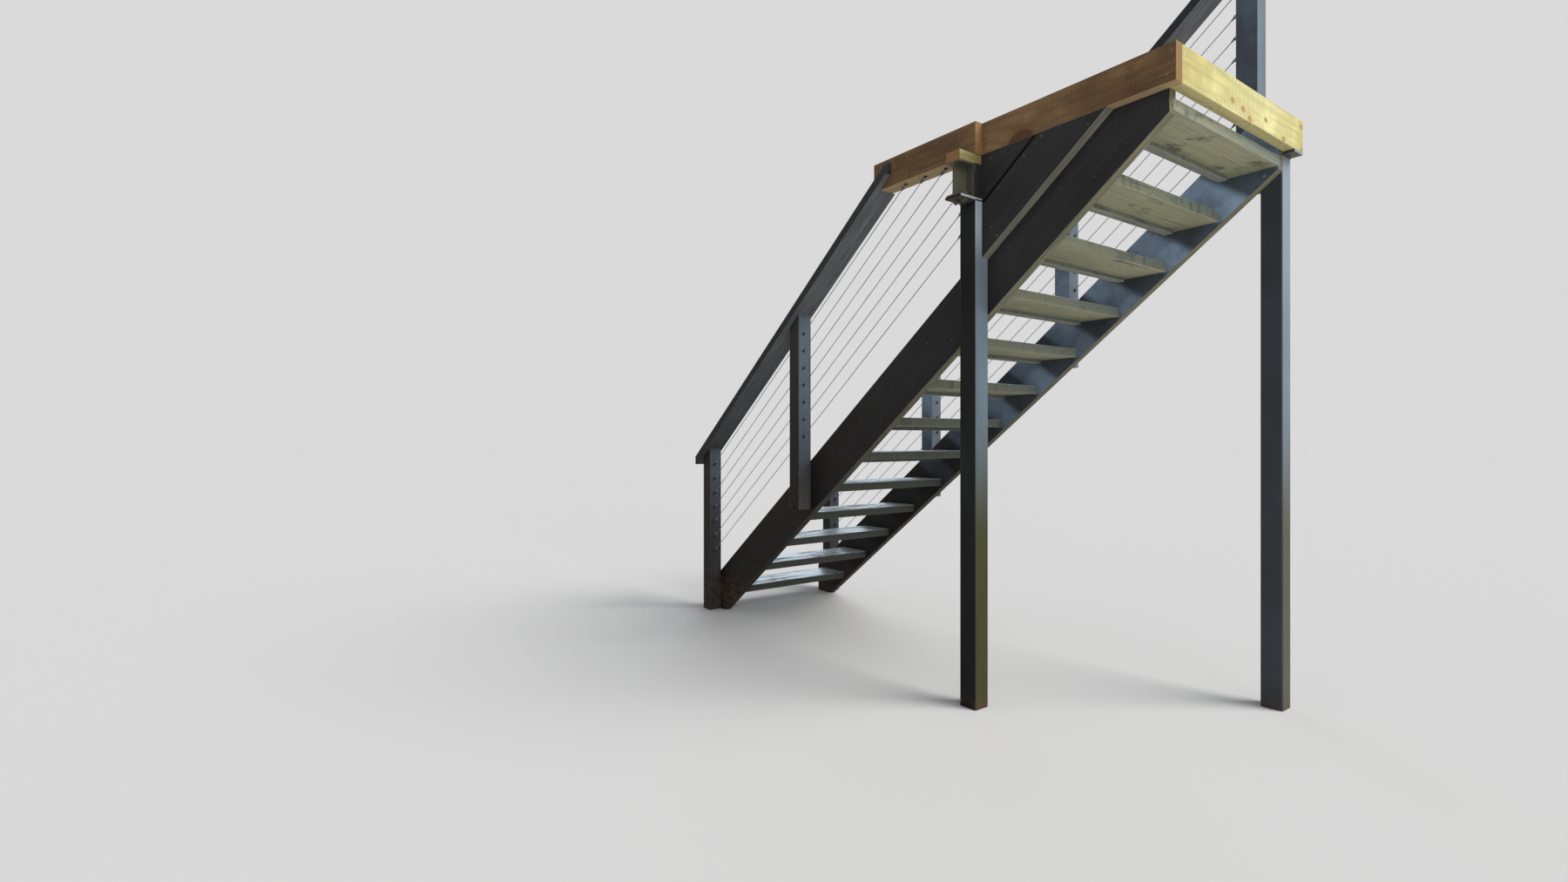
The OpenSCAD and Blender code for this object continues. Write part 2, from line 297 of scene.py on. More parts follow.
def weathered_tread(name, turn, under_low, under_high, stains=1.0):
    """Bare timber: one look for the undersides and edges, one for the tops."""
    f = Finish(name)
    where = f.at(turn)
    lines, knot, _ = timber_lines(f, turn, 30.0, 2.3)
    fibre = f.noise(f.at(turn, (120, 2.6, 120)), 1.0, 5.0, 0.6)
    streak = f.noise(f.at(turn, (26, 1.1, 26)), 1.0, 4.0, 0.6)
    patch = f.noise(f.at(turn, (1, 0.5, 1)), 3.2, 4.0, 0.6)
    checks = f.noise(f.at(turn, (95, 1.3, 95)), 1.0, 2.0, 0.5).rise(0.665, 0.71)
    mould = f.noise(f.at(turn, (1, 0.55, 1)), 8.0, 6.0, 0.72).rise(0.55, 0.64) * patch.rise(0.46, 0.58)
    _, toward, level = f.facing()
    off_middle, _, height = f.part(f.at())
    # the underside
    olive = f.mix(patch.rise(0.34, 0.66), under_low, under_high)
    grained = f.mix(lines.rise(0.45, 0.95) * 0.20, olive, (0.160, 0.150, 0.088))
    fibred = f.mix(fibre.rise(0.42, 0.72) * 0.30, grained, (0.410, 0.400, 0.280))
    stained = f.mix(mould * 0.72 * stains, fibred, (0.045, 0.046, 0.030))
    knotted = f.mix(knot * 0.80, stained, (0.070, 0.048, 0.024))
    under = f.mix(checks * 0.7, knotted, (0.050, 0.047, 0.032))
    # the front and back edges, washed grey-green, streaked by rain and rubbed on the arris
    damp = f.noise(f.at(turn, (30, 14, 4)), 1.0, 4.0, 0.6).rise(0.52, 0.70)
    washed = toward.rise(0.4, 0.9) * (0.40 + (0 - off_middle).rise(-0.30, 0.40) * 0.45)
    wash = f.mix(height.rise(1.3, 1.9), (0.200, 0.248, 0.215), (0.138, 0.168, 0.132))
    edge = f.mix(washed, under, wash)
    streaked = f.mix(toward.size().rise(0.4, 0.9) * damp * 0.80, edge, (0.050, 0.056, 0.044))
    arris = (toward * level).size().rise(0.16, 0.42) * f.noise(where, 19.0, 4.0).rise(0.34, 0.56)
    pale = f.mix(arris * 0.55, streaked, (0.460, 0.470, 0.420))
    # painted shade: darker low down, and more on the edges low down
    edge_shade = toward.rise(0.4, 0.9) * (1 - height.rise(0.9, 2.3)) * 0.30
    shade = (1 - height.rise(0.35, 2.2)) * 0.94 + edge_shade
    painted_low_shade = f.mix(shade.clip(), pale, (0.024, 0.028, 0.018))
    # a painted sky highlight along the upper arris of the back edge
    rim = (toward * level.rise(0.0, 1.0)).rise(0.03, 0.30) * f.noise(where, 27.0, 4.0).rise(0.28, 0.50)
    low = f.mix(rim * 0.9, painted_low_shade, (0.620, 0.690, 0.740))
    # the top
    grey = f.mix(streak.rise(0.36, 0.62), (0.250, 0.288, 0.325), (0.500, 0.550, 0.600))
    lichen = f.mix(f.noise(where, 14.0, 6.0, 0.7).rise(0.54, 0.64) * 0.70, grey, (0.660, 0.695, 0.720))
    grey_lines = f.mix(lines.rise(0.55, 0.95) * 0.42, lichen, (0.080, 0.088, 0.095))
    torn = f.noise(f.at(turn, (24, 3.4, 24)), 1.0, 5.0, 0.68).rise(0.47, 0.60)
    trodden = f.mix((mould * 0.65 + torn * 0.45).clip(), grey_lines, (0.060, 0.064, 0.066))
    top = f.mix((checks + knot * 0.7).clip(), trodden, (0.030, 0.030, 0.030))
    upward = level.rise(0.25, 0.75)
    relief = fibre * 0.5 + lines * 0.22 - checks * 1.1 - knot * 0.3 + streak * 0.3 - torn * 0.4
    rough = 0.72 + streak * 0.18 - upward * 0.44 + torn * upward * 0.35
    return f.finish(f.mix(upward, low, top), rough, relief, 0.0014, gloss=0.75)


TO_ACROSS = (0, 0, math.pi / 2)
treads = [f"tread_{k:02d}" for k in range(1, RISERS)]
dress(weathered_tread("weathered_tread", TO_ACROSS, (0.265, 0.258, 0.145), (0.370, 0.355, 0.215)), *treads)
dress(weathered_tread("weathered_strip", TO_ACROSS, (0.220, 0.222, 0.172), (0.310, 0.310, 0.250), 0.3),
      "nosing_strips")


# Each tread is held by two screws through the stringer at either end, and its strip by four from below.
# They are zinc-coated countersunk screws with a hexagon socket. The stringers' second coat of paint
# covers theirs.
HEAD_T, HEAD_PROUD, HEAD_SOFT = 0.0014, 0.0010, 0.0004
SOCKET_SHARE, SOCKET_DEPTH, SOCKET_TOOL = 0.45, 0.0012, 0.004
TURN_ON = 1.7


def screw_blank(name, radius):
    """A countersunk head on the plane z = 0, looking up, with a hexagon socket."""
    bpy.ops.mesh.primitive_cylinder_add(vertices=24, radius=radius, depth=HEAD_T,
                                        location=(0, 0, HEAD_PROUD - HEAD_T / 2))
    head = bpy.context.object
    head.name = name
    bpy.ops.object.mode_set(mode="EDIT")
    bpy.ops.mesh.select_mode(type="FACE")
    mesh = bmesh.from_edit_mesh(head.data)
    for face in mesh.faces:
        face.select_set(face.normal.z > 0.9)
    mesh.select_flush_mode()
    bmesh.update_edit_mesh(head.data)
    bpy.ops.mesh.bevel(offset=HEAD_SOFT, segments=2)
    bpy.ops.object.mode_set(mode="OBJECT")
    bpy.ops.mesh.primitive_cylinder_add(vertices=6, radius=radius * SOCKET_SHARE, depth=SOCKET_TOOL,
                                        location=(0, 0, HEAD_PROUD - SOCKET_DEPTH + SOCKET_TOOL / 2))
    socket = bpy.context.object
    cut = head.modifiers.new("socket", "BOOLEAN")
    cut.operation = "DIFFERENCE"
    cut.object = socket
    bpy.context.view_layer.objects.active = head
    bpy.ops.object.modifier_apply(modifier=cut.name)
    bpy.data.objects.remove(socket)
    return head


def set_out(blank, name, places):
    """Copies a blank to each (point, facing), each turned on from the last, and joins them as one piece."""
    copies = []
    for k, (point, facing) in enumerate(places):
        copy = blank.copy()
        copy.data = blank.data.copy()
        bpy.context.scene.collection.objects.link(copy)
        turn = Vector(facing).to_track_quat("Z", "Y").to_matrix().to_4x4()
        spin = Matrix.Rotation(TURN_ON * k, 4, "Z")
        copy.data.transform(Matrix.Translation(point) @ turn @ spin)
        copies.append(copy)
    bpy.ops.object.select_all(action="DESELECT")
    for copy in copies:
        copy.select_set(True)
    bpy.context.view_layer.objects.active = copies[0]
    bpy.ops.object.join()
    piece = bpy.context.object
    piece.name = piece.data.name = name
    bpy.ops.object.select_all(action="DESELECT")
    return piece


def galvanised(name, colour=(0.34, 0.345, 0.35), painted=0.0):
    """Spangled zinc with grime on it; painted is how much of it the paint has covered."""
    f = Finish(name)
    where = f.at()
    spangle = f.node("ShaderNodeTexVoronoi", out="Color", Vector=where, Scale=420.0)
    tint, _, _ = f.part(spangle)
    dull = f.noise(where, 160.0, 4.0)
    bare = f.mix(tint * 0.5 + dull * 0.3, colour, deeper(colour, 1.45))
    grime = f.mix((f.noise(where, 38.0, 4.0) + painted).rise(0.55, 0.80), bare, (0.030, 0.031, 0.033))
    return f.finish(grime, 0.42 + dull * 0.25, dull, 0.0002, metal=0.75 * (1 - painted))


def give(piece, material):
    piece.data.materials.clear()
    piece.data.materials.append(material)
    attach(piece, "root")


# the stair's two sides, with the way along X that is outward on each
HANDS = (("house_side", 1), ("garden_side", -1))
# a tread's screws stand at these shares of its depth
TREAD_SCREWS = (0.17, 0.80)
painted_zinc = galvanised("painted_screw_heads", painted=0.80)
tread_screw = screw_blank("screw_blank", radius=0.0055)
for hand, outward in HANDS:
    stringer_low, stringer_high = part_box(f"stringer_{hand}")
    face_x = stringer_high.x if outward > 0 else stringer_low.x
    places = []
    for name in treads:
        low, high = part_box(name)
        for share in TREAD_SCREWS:
            y = low.y + share * (high.y - low.y)
            places.append(((face_x, y, (low.z + high.z) / 2), (outward, 0, 0)))
    give(set_out(tread_screw, f"tread_screws_{hand}", places), painted_zinc)

STRIP_FRONT, STRIP_W, STRIP_T = 0.012, 0.040, 0.020
# a strip's screws, with their places as shares of its length
STRIP_SCREWS, FIRST_SCREW, NEXT_SCREW = 4, 0.06, 0.293
strip_low, strip_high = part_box("nosing_strips")
places = []
for name in treads:
    low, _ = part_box(name)
    for k in range(STRIP_SCREWS):
        x = strip_low.x + (FIRST_SCREW + NEXT_SCREW * k) * (strip_high.x - strip_low.x)
        places.append(((x, low.y + STRIP_FRONT + STRIP_W / 2, low.z - STRIP_T), (0, 0, -1)))
give(set_out(tread_screw, "strip_screws", places), galvanised("galvanised_steel"))


# The posts are 90 mm square timber in the same charcoal paint, bored for the wires.
# Each stands against its stringer, held by two coach screws with domed heads and washers. More go from
# inside the stringers into the steel posts. All of them are painted over.
posts = ["newel_post_house_side", "mid_post_house_side", "newel_post_garden_side",
         "lower_post_garden_side", "upper_post_garden_side", "top_post_garden_side"]
newels = [name for name in posts if name.startswith("newel")]
TO_PLUMB = (-math.pi / 2, 0, 0)
POST_UNDER = (0.090, 0.086, 0.068)
# painted sky light on the posts' faces up the flight and painted light on their inner faces; the upper
# posts also get painted warm bounce light low down
dress(charcoal_paint("charcoal_paint_newels", TO_PLUMB, POST_UNDER, face_sky_light=0.85, bloom_and_inner_light=0.9), *newels)
dress(charcoal_paint("charcoal_paint_posts", TO_PLUMB, POST_UNDER, face_sky_light=0.85, warm_bounce_low=1.0, bloom_and_inner_light=0.9),
      *(name for name in posts if name not in newels))


def disc(name, radius, depth, sides, soften, base=0.0):
    """A round or many-sided plate that stands on the plane z = base, with its edges softened."""
    bpy.ops.mesh.primitive_cylinder_add(vertices=sides, radius=radius, depth=depth,
                                        location=(0, 0, base + depth / 2))
    plate = bpy.context.object
    plate.name = name
    bpy.ops.object.transform_apply(location=True, rotation=True, scale=True)
    bpy.ops.object.mode_set(mode="EDIT")
    bpy.ops.mesh.select_mode(type="EDGE")
    bpy.ops.mesh.select_all(action="DESELECT")
    bpy.ops.mesh.edges_select_sharp(sharpness=math.radians(35))
    bpy.ops.mesh.bevel(offset=soften, segments=2)
    bpy.ops.object.mode_set(mode="OBJECT")
    return plate


def fuse(name, *items):
    """Joins the parts of one blank and smooths what is round."""
    bpy.ops.object.select_all(action="DESELECT")
    for item in items:
        item.select_set(True)
    bpy.context.view_layer.objects.active = items[0]
    bpy.ops.object.join()
    bpy.ops.object.shade_smooth_by_angle(angle=math.radians(35))
    bpy.ops.object.select_all(action="DESELECT")
    items[0].name = name
    return items[0]


WASHER_R, WASHER_T, CUP_R, CUP_FLAT, SUNK = 0.015, 0.0022, 0.012, 0.55, 0.0001
bpy.ops.mesh.primitive_uv_sphere_add(segments=32, ring_count=16, radius=CUP_R)
cup = bpy.context.object
cup.data.transform(Matrix.Diagonal((1, 1, CUP_FLAT, 1)))
bpy.ops.object.mode_set(mode="EDIT")
bpy.ops.mesh.select_all(action="SELECT")
bpy.ops.mesh.bisect(plane_co=(0, 0, 0), plane_no=(0, 0, 1), clear_inner=True, use_fill=True)
bpy.ops.object.mode_set(mode="OBJECT")
cup.data.transform(Matrix.Translation((0, 0, WASHER_T - SUNK)))
coach_screw = fuse("coach_screw_blank", disc("washer", WASHER_R, WASHER_T, sides=32, soften=0.0004),
                   cup)


def nosing_line(y, dz):
    """The height dz over the line through the treads' front edges, at a place along the flight."""
    return RISE + (y - FLIGHT_Y) * RISE / GOING + dz


# each screw's place: along the flight from the post's middle, and over the nosing line
NEWEL_SCREWS = ((-0.010, 0.005), (0.010, -0.105))
POST_SCREWS = ((0.018, -0.015), (-0.018, -0.155))
HEAD_SCREWS = {"house_side": ((0.0, -0.030), (0.0, -0.190)), "garden_side": ((-0.012, -0.213),)}
STEEL_W = 0.089

places = []
for name in posts:
    low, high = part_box(name)
    outward = 1 if name.endswith("house_side") else -1
    face_x = high.x if outward > 0 else low.x
    for sway, dz in NEWEL_SCREWS if name in newels else POST_SCREWS:
        y = (low.y + high.y) / 2 + sway
        places.append(((face_x, y, nosing_line(y, dz)), (outward, 0, 0)))
screw_paint = charcoal_paint("charcoal_paint_screws", TO_PITCH, bloom_and_inner_light=0.9, glint_share=0.0)
give(set_out(coach_screw, "post_coach_screws", places), screw_paint)

places = []
for hand, outward in HANDS:
    stringer_low, stringer_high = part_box(f"stringer_{hand}")
    inner_x = stringer_low.x if outward > 0 else stringer_high.x
    post_low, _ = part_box(f"steel_post_{hand}")
    for sway, dz in HEAD_SCREWS[hand]:
        y = post_low.y + STEEL_W / 2 + sway
        places.append(((inner_x, y, nosing_line(y, dz)), (-outward, 0, 0)))
give(set_out(coach_screw, "steel_post_coach_screws", places), screw_paint)


# The handrails are 140 mm boards laid flat on the post heads and planed to a soft edge.
# They have the stringers' paint, paler along the top with dust, rubbed arrises and a painted glint,
# and two screws over each post.
dress(charcoal_paint("charcoal_paint_handrail", TO_PITCH, (0.215, 0.222, 0.236)),
      "handrail_house_side", "handrail_garden_side")

# the screws stand off a post's middle to either side, and a share of that along the flight
RAIL_SEAT, RAIL_T, OFF_MIDDLE, SKEW = 0.920, 0.045, 0.022, 0.4
rail_up = (0, -math.sin(PITCH), math.cos(PITCH))
rail_screw = screw_blank("rail_screw_blank", radius=0.0062)
places = []
for name in posts:
    low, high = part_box(name)
    for off in (-OFF_MIDDLE, OFF_MIDDLE):
        y = (low.y + high.y) / 2 + off * SKEW
        top_z = nosing_line(y, RAIL_SEAT) + RAIL_T / math.cos(PITCH)
        places.append((((low.x + high.x) / 2 + off, y, top_z), rail_up))
give(set_out(rail_screw, "handrail_screws", places), painted_zinc)


# The infill is seven stainless wires a side, each a rope of 4 mm with a fitting swaged on either end.
# Black bushes line the bores wherever a wire goes into or comes out of a post, and two lock nuts at
# either end hold the pull.
def wire_rope(name):
    f = Finish(name)
    x, along, up = f.part(f.at(TO_PITCH))
    soil = f.noise(f.at(TO_PITCH, (40, 6, 40)), 1.0, 4.0)
    lay = (along * 760 + (x + up) * 1900).wave()
    clean = f.mix(soil.rise(0.35, 0.7), (0.42, 0.43, 0.44), (0.20, 0.20, 0.195))
    # the grooves between the strands are painted dark, as painted shade
    colour = f.mix(lay.rise(-0.9, -0.4), (0.09, 0.09, 0.09), clean)
    return f.finish(colour, 0.32 + soil * 0.2, lay, 0.0004, metal=0.9)


def stainless(name):
    f = Finish(name)
    smear = f.noise(f.at(TO_PITCH, (160, 60, 160)), 1.0, 4.0)
    colour = f.mix(smear.rise(0.35, 0.7), (0.21, 0.21, 0.22), (0.10, 0.10, 0.10))
    return f.finish(colour, 0.30 + smear * 0.2, smear, 0.0001, metal=1.0)


def black_bush(name):
    f = Finish(name)
    bloom_and_inner_light = f.noise(f.at(), 220.0, 4.0)
    colour = f.mix(bloom_and_inner_light.rise(0.40, 0.72), (0.008, 0.008, 0.009), (0.022, 0.022, 0.022))
    return f.finish(colour, 0.55 + bloom_and_inner_light * 0.2, bloom_and_inner_light, 0.0002, gloss=0.3)


WIRE_N, WIRE_H0, WIRE_PITCH, SWAGE_R = 7, 0.210, 0.100, 0.004
# the lock nuts stand this far from a wire's end, and a wire that comes this near ends under the trimmer
LOCK_NUTS_AT, AT_TRIMMER = (0.022, 0.031), 1e-4
rope, fitting_steel = wire_rope("stainless_wire"), stainless("stainless_fittings")
along_wire = Vector((0, math.cos(PITCH), math.sin(PITCH)))
trimmer_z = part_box("inner_trimmer")[0].z
bushes, lock_nuts = [], []
for hand, _ in HANDS:
    mesh = nodes[f"wires_{hand}"].data
    dress(rope, f"wires_{hand}")
    mesh.materials.append(fitting_steel)
    middle = sum(v.co.x for v in mesh.vertices) / len(mesh.vertices)
    foot_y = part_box(f"newel_post_{hand}")[1].y
    for k in range(WIRE_N):
        dz = WIRE_H0 + k * WIRE_PITCH
        near = [v.co for v in mesh.vertices if abs(v.co.z - nosing_line(v.co.y, dz)) < WIRE_PITCH / 3]
        head_y, facing = max(co.y for co in near), (0, -1, 0)
        if abs(max(co.z for co in near) - trimmer_z) < AT_TRIMMER:
            head_y, facing = FLIGHT_Y + (trimmer_z - dz - RISE) * GOING / RISE, (0, 0, -1)
        foot = Vector((middle, foot_y, nosing_line(foot_y, dz)))
        head = Vector((middle, head_y, nosing_line(head_y, dz)))
        bushes += [(foot, (0, 1, 0)), (head, facing)]
        for name in posts:
            low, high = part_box(name)
            if low.x < middle < high.x and foot.y < low.y and high.y < head.y:
                bushes += [(Vector((middle, y, nosing_line(y, dz))), (0, way, 0))
                           for y, way in ((low.y, -1), (high.y, 1))]
        for reach in LOCK_NUTS_AT:
            lock_nuts += [(foot + along_wire * reach, along_wire), (head - along_wire * reach, -along_wire)]
    for face in mesh.polygons:
        x, y, z = face.center
        k = round((z - nosing_line(y, WIRE_H0)) / WIRE_PITCH)
        off_line = (z - nosing_line(y, WIRE_H0 + k * WIRE_PITCH)) * math.cos(PITCH)
        # the rope stays inside this share of a fitting's radius
        if math.hypot(x - middle, off_line) > 0.7 * SWAGE_R:
            face.material_index = 1

BUSH_R, BUSH_T, NECK_R, NECK_T, NUT_R, NUT_T = 0.0085, 0.0030, 0.0062, 0.0060, 0.0072, 0.0060
bush = fuse("bush_blank", disc("flange", BUSH_R, BUSH_T, sides=32, soften=0.0010),
            disc("neck", NECK_R, NECK_T, sides=32, soften=0.0008))
lock_nut = fuse("lock_nut_blank", disc("lock_nut", NUT_R, NUT_T, sides=6, soften=0.0007))
give(set_out(bush, "wire_bushes", bushes), black_bush("black_bush"))
give(set_out(lock_nut, "wire_lock_nuts", lock_nuts), fitting_steel)


# Two boards over the house side stringer close the gap under the trimmer, with a cleat behind them,
# and a short block stands on the steel post beside the beam's end. All are painted like the stringers.
# The joint between the boards shows as a dark line of dirt and painted shade; their screws are dulled zinc.
COVER_D = 0.190
cover_joint = (RISE - FLIGHT_Y * RISE / GOING) * math.cos(PITCH) + COVER_D
dress(charcoal_paint("charcoal_paint_cover", TO_PITCH, (0.330, 0.315, 0.250), joint=cover_joint),
      "cover_board_lower", "cover_board_upper")
dress(charcoal_paint("charcoal_paint_cleat", TO_PLUMB), "cover_cleat", "end_block")

# each screw's place: along the flight from the first nosing, and over the nosing line; the cleat's
# are shares of its height
COVER_SCREWS = ((2.377, 0.085), (2.405, 0.022), (2.411, 0.219), (2.371, 0.392), (2.511, 0.031),
                (2.544, 0.214), (2.628, 0.203), (2.833, 0.020))
CLEAT_SCREWS = (0.12, 0.30, 0.48, 0.66)
face_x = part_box("cover_board_lower")[1].x
places = [((face_x, y + FLIGHT_Y, nosing_line(y + FLIGHT_Y, dz)), (1, 0, 0)) for y, dz in COVER_SCREWS]
low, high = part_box("cover_cleat")
places += [((low.x, (low.y + high.y) / 2, low.z + share * (high.z - low.z)), (-1, 0, 0))
           for share in CLEAT_SCREWS]
cover_screw = screw_blank("cover_screw_blank", radius=0.0044)
give(set_out(cover_screw, "cover_board_screws", places),
     galvanised("dulled_screws", (0.120, 0.119, 0.110), 0.15))


# The trimmers, the rim joist and the packer are sawn treated pine, left bare.
# The bandsaw has marked them across the grain. The trimmers are darker and browner than the rim joist,
# partly painted shade, and the rim joist paler, partly painted light; their undersides are painted paler
# as painted light from below. The end grain has dried to a rusty orange. Nails hold them together.
def sawn_pine(name, turn, low, high, under, scale=1.0):
    """Sawn board from low to high in colour, with its underside as under, painted paler as light from
    below; scale packs the knots closer.
    """
    f = Finish(name)
    where = f.at(turn)
    lines, knot, halo = timber_lines(f, turn, 24.0, 2.6 * scale, through=True)
    fibre = f.noise(f.at(turn, (90, 3.0, 90)), 1.0, 5.0, 0.6)
    broad = f.noise(f.at(turn, (1, 0.4, 1)), 4.0, 4.0, 0.6)
    x, y, z = f.part(where)
    side, end, _ = f.facing(turn)
    _, _, level = f.facing()
    saw = (y * 640 + f.noise(where, 10.0, 3.0) * 7.0).wave() * 0.5 + 0.5
    bands = saw * f.noise(where, 6.0, 2.0).rise(0.32, 0.55)
    base = f.mix(broad.rise(0.34, 0.66), low, high)
    grown = f.mix(lines.rise(0.4, 0.95) * 0.25, base, deeper(low, 0.62))
    sawn = f.mix(bands * side.size().rise(0.4, 0.9) * 0.62, grown, deeper(low, 0.42))
    fibred = f.mix(fibre.rise(0.5, 0.75) * 0.30, sawn, deeper(high, 1.20))
    fleck = f.noise(f.at(turn, (52, 9, 52)), 1.0, 3.0, 0.6).rise(0.66, 0.71)
    knotted = f.mix((knot + halo * 0.12 + fleck * 0.6).clip() * 0.85, fibred, deeper(low, 0.62, 0.42, 0.34))
    underside_colour = f.mix(lines.rise(0.45, 1.0) * 0.35, under, deeper(under, 0.62))
    lit_underside = f.mix((0 - level).rise(0.3, 0.9) * 0.85, knotted, underside_colour)
    ring = (((x + 0.11) ** 2 + (z + 0.07) ** 2) ** 0.5 * 900 + fibre * 1.5).wave() * 0.5 + 0.5
    end_grain = f.mix(ring, (0.310, 0.175, 0.068), (0.190, 0.098, 0.036))
    colour = f.mix(end.size().rise(0.8, 0.95), lit_underside, end_grain)
    return f.finish(colour, 0.70 + fibre * 0.2, fibre * 0.4 + lines * 0.2 + bands * 0.5, 0.0012, gloss=0.3)


dress(sawn_pine("sawn_pine_trimmers", (0, 0, 0), (0.125, 0.068, 0.030), (0.285, 0.168, 0.075),
                (0.480, 0.350, 0.180)), "inner_trimmer", "outer_trimmer")
dress(sawn_pine("sawn_pine_rim_joist", TO_ACROSS, (0.560, 0.490, 0.185), (0.730, 0.670, 0.320),
                (0.580, 0.500, 0.235), 3.1), "deck_rim_joist")
dress(sawn_pine("sawn_pine_packer", TO_ACROSS, (0.270, 0.215, 0.085), (0.430, 0.355, 0.155),
                (0.300, 0.240, 0.090), 1.6), "beam_packer")

# pairs of nails along the outer trimmer, and a slanted row through the inner one into the rim joist
NAIL_PAIRS, FIRST_PAIR, NEXT_PAIR, PAIR_UP, SCATTER = 4, 0.07, 0.165, (0.028, 0.112), 0.02
ROW_UP, ROW_IN, ROW_SLANT, ROW_MIDDLE = (0.030, 0.068, 0.108), 0.022, 0.2, 0.07
NAIL_R, NAIL_T = 0.0042, 0.0009
nail = fuse("nail_blank", disc("nail_head", NAIL_R, NAIL_T, sides=20, soften=0.0003))
inner, outer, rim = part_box("inner_trimmer"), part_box("outer_trimmer"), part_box("deck_rim_joist")
places = []
for k in range(NAIL_PAIRS):
    y = outer[0].y + FIRST_PAIR + k * NEXT_PAIR
    for up in PAIR_UP:
        stray = SCATTER * math.sin(5 * k + 40 * up)
        places.append(((outer[1].x, y + stray, outer[0].z + up), (1, 0, 0)))
for up in ROW_UP:
    y = rim[0].y + ROW_IN + ROW_SLANT * (up - ROW_MIDDLE)
    places.append(((inner[1].x, y, inner[0].z + up), (1, 0, 0)))
give(set_out(nail, "joist_nails", places), galvanised("dulled_nails", (0.150, 0.140, 0.125)))


# Two square steel posts and the end of a rolled beam carry the head of the flight.
# They are welded to their plates and sprayed in a charcoal enamel, with dust on the flanges, rust at the
# feet, and painted reflections on the faces towards the light. Two bolts, sprayed with the beam, hold it
# to its cap plate.
def charcoal_enamel(name, low, high, sky_reflection=0.0, gloss=0.25, painted_sky_light=0.0):
    """Sprayed enamel with painted reflections on the face towards the light: olive low down, blue-grey
    above.
    """
    f = Finish(name)
    where = f.at()
    broad = f.noise(where, 3.0, 3.0)
    peel = f.noise(where, 260.0, 3.0)
    runs = f.noise(f.at(stretch=(30, 30, 2.2)), 1.0, 4.0)
    sky_light_and_chalk = f.noise(f.at(stretch=(9, 9, 1.6)), 1.0, 5.0, 0.6)
    _, toward, level = f.facing()
    _, _, height = f.part(where)
    base = f.mix(broad.rise(0.3, 0.7), low, high)
    # painted reflections on the face towards the light: olive low down, blue-grey higher, pale at the top
    olive_to_blue = f.mix(height.rise(0.7, 1.5), (0.072, 0.072, 0.026), (0.225, 0.300, 0.365))
    to_grey = f.mix(height.rise(1.5, 2.2), olive_to_blue, (0.340, 0.415, 0.485))
    tint = f.mix(height.rise(1.95, 2.15) * painted_sky_light, to_grey, (0.720, 0.800, 0.860))
    painted_reflection = f.mix(toward.rise(0.5, 0.95) * (0.40 + sky_light_and_chalk * 0.5) * sky_reflection, base, tint)
    sky_lit_and_chalky = f.mix(sky_light_and_chalk.rise(0.50, 0.74) * 0.15, painted_reflection, (0.042, 0.045, 0.044))
    streaked = f.mix(runs.rise(0.60, 0.80) * 0.15, sky_lit_and_chalky, (0.065, 0.066, 0.060))
    # the undersides painted olive, as painted light bounced from below
    underside_film_and_bounce = f.mix((0 - level).rise(0.4, 0.9) * 0.65, streaked, (0.092, 0.086, 0.058))
    dusty = f.mix(level.rise(0.4, 0.9) * 0.65, underside_film_and_bounce, (0.170, 0.165, 0.145))
    rusty = (1 - height.rise(0.0, 0.10)) * f.noise(where, 60.0, 5.0).rise(0.50, 0.66)
    colour = f.mix(rusty * 0.75, dusty, (0.110, 0.045, 0.019))
    rough = 0.36 + broad * 0.10 + runs * 0.10 + rusty * 0.3
    return f.finish(colour, rough, peel * 0.5 + runs, 0.0003, gloss=gloss)


# one enamel on both posts, as lit and shaded copies: the house side's painted darker as painted shade and
# pale at the top as a painted reflection, the garden side's lighter and bluer as painted sky light
dress(charcoal_enamel("charcoal_enamel_house_side", (0.0070, 0.0072, 0.0074), (0.0130, 0.0134, 0.0136),
                      sky_reflection=0.9, gloss=0.10, painted_sky_light=1.0), "steel_post_house_side")
dress(charcoal_enamel("charcoal_enamel_garden_side", (0.0290, 0.0330, 0.0410), (0.0430, 0.0490, 0.0600),
                      sky_reflection=0.9), "steel_post_garden_side")
# the beam's enamel is olive and far lighter than the posts', partly painted light bounced from below
beam_enamel_and_bounce = charcoal_enamel("olive_enamel_beam", (0.064, 0.061, 0.040), (0.110, 0.104, 0.066))
dress(beam_enamel_and_bounce, "beam_end")

CAP_T, CORNER_R, LEG = 0.010, 0.008, 0.005


def weld_bead(name, mid_x, mid_y, top_z):
    """A fillet weld round the head of a square tube, under its cap plate."""
    bpy.ops.mesh.primitive_plane_add(size=STEEL_W + 2 * LEG)
    bead = bpy.context.object
    bead.name = name
    bpy.ops.object.mode_set(mode="EDIT")
    bpy.ops.mesh.select_mode(type="VERT")
    bpy.ops.mesh.select_all(action="SELECT")
    bpy.ops.mesh.bevel(offset=CORNER_R + LEG, segments=6, affect="VERTICES")
    bpy.ops.mesh.select_mode(type="FACE")
    bpy.ops.mesh.select_all(action="SELECT")
    # the fillet is hollowed in two steps, each a share of its leg inward and down
    for inward, down in ((0.60, 0.35), (0.50, 0.75)):
        bpy.ops.mesh.inset(thickness=LEG * inward)
        bpy.ops.transform.translate(value=(0, 0, -LEG * down))
    bpy.ops.mesh.extrude_region_move(TRANSFORM_OT_translate={"value": (0, 0, LEG * 1.10)})
    bpy.ops.mesh.delete(type="FACE")
    bpy.ops.mesh.select_mode(type="EDGE")
    bpy.ops.mesh.select_non_manifold()
    bpy.ops.mesh.bridge_edge_loops()
    bpy.ops.mesh.select_all(action="SELECT")
    bpy.ops.mesh.normals_make_consistent(inside=False)
    bpy.ops.object.mode_set(mode="OBJECT")
    bead.data.transform(Matrix.Translation((mid_x, mid_y, top_z)))
    return bead


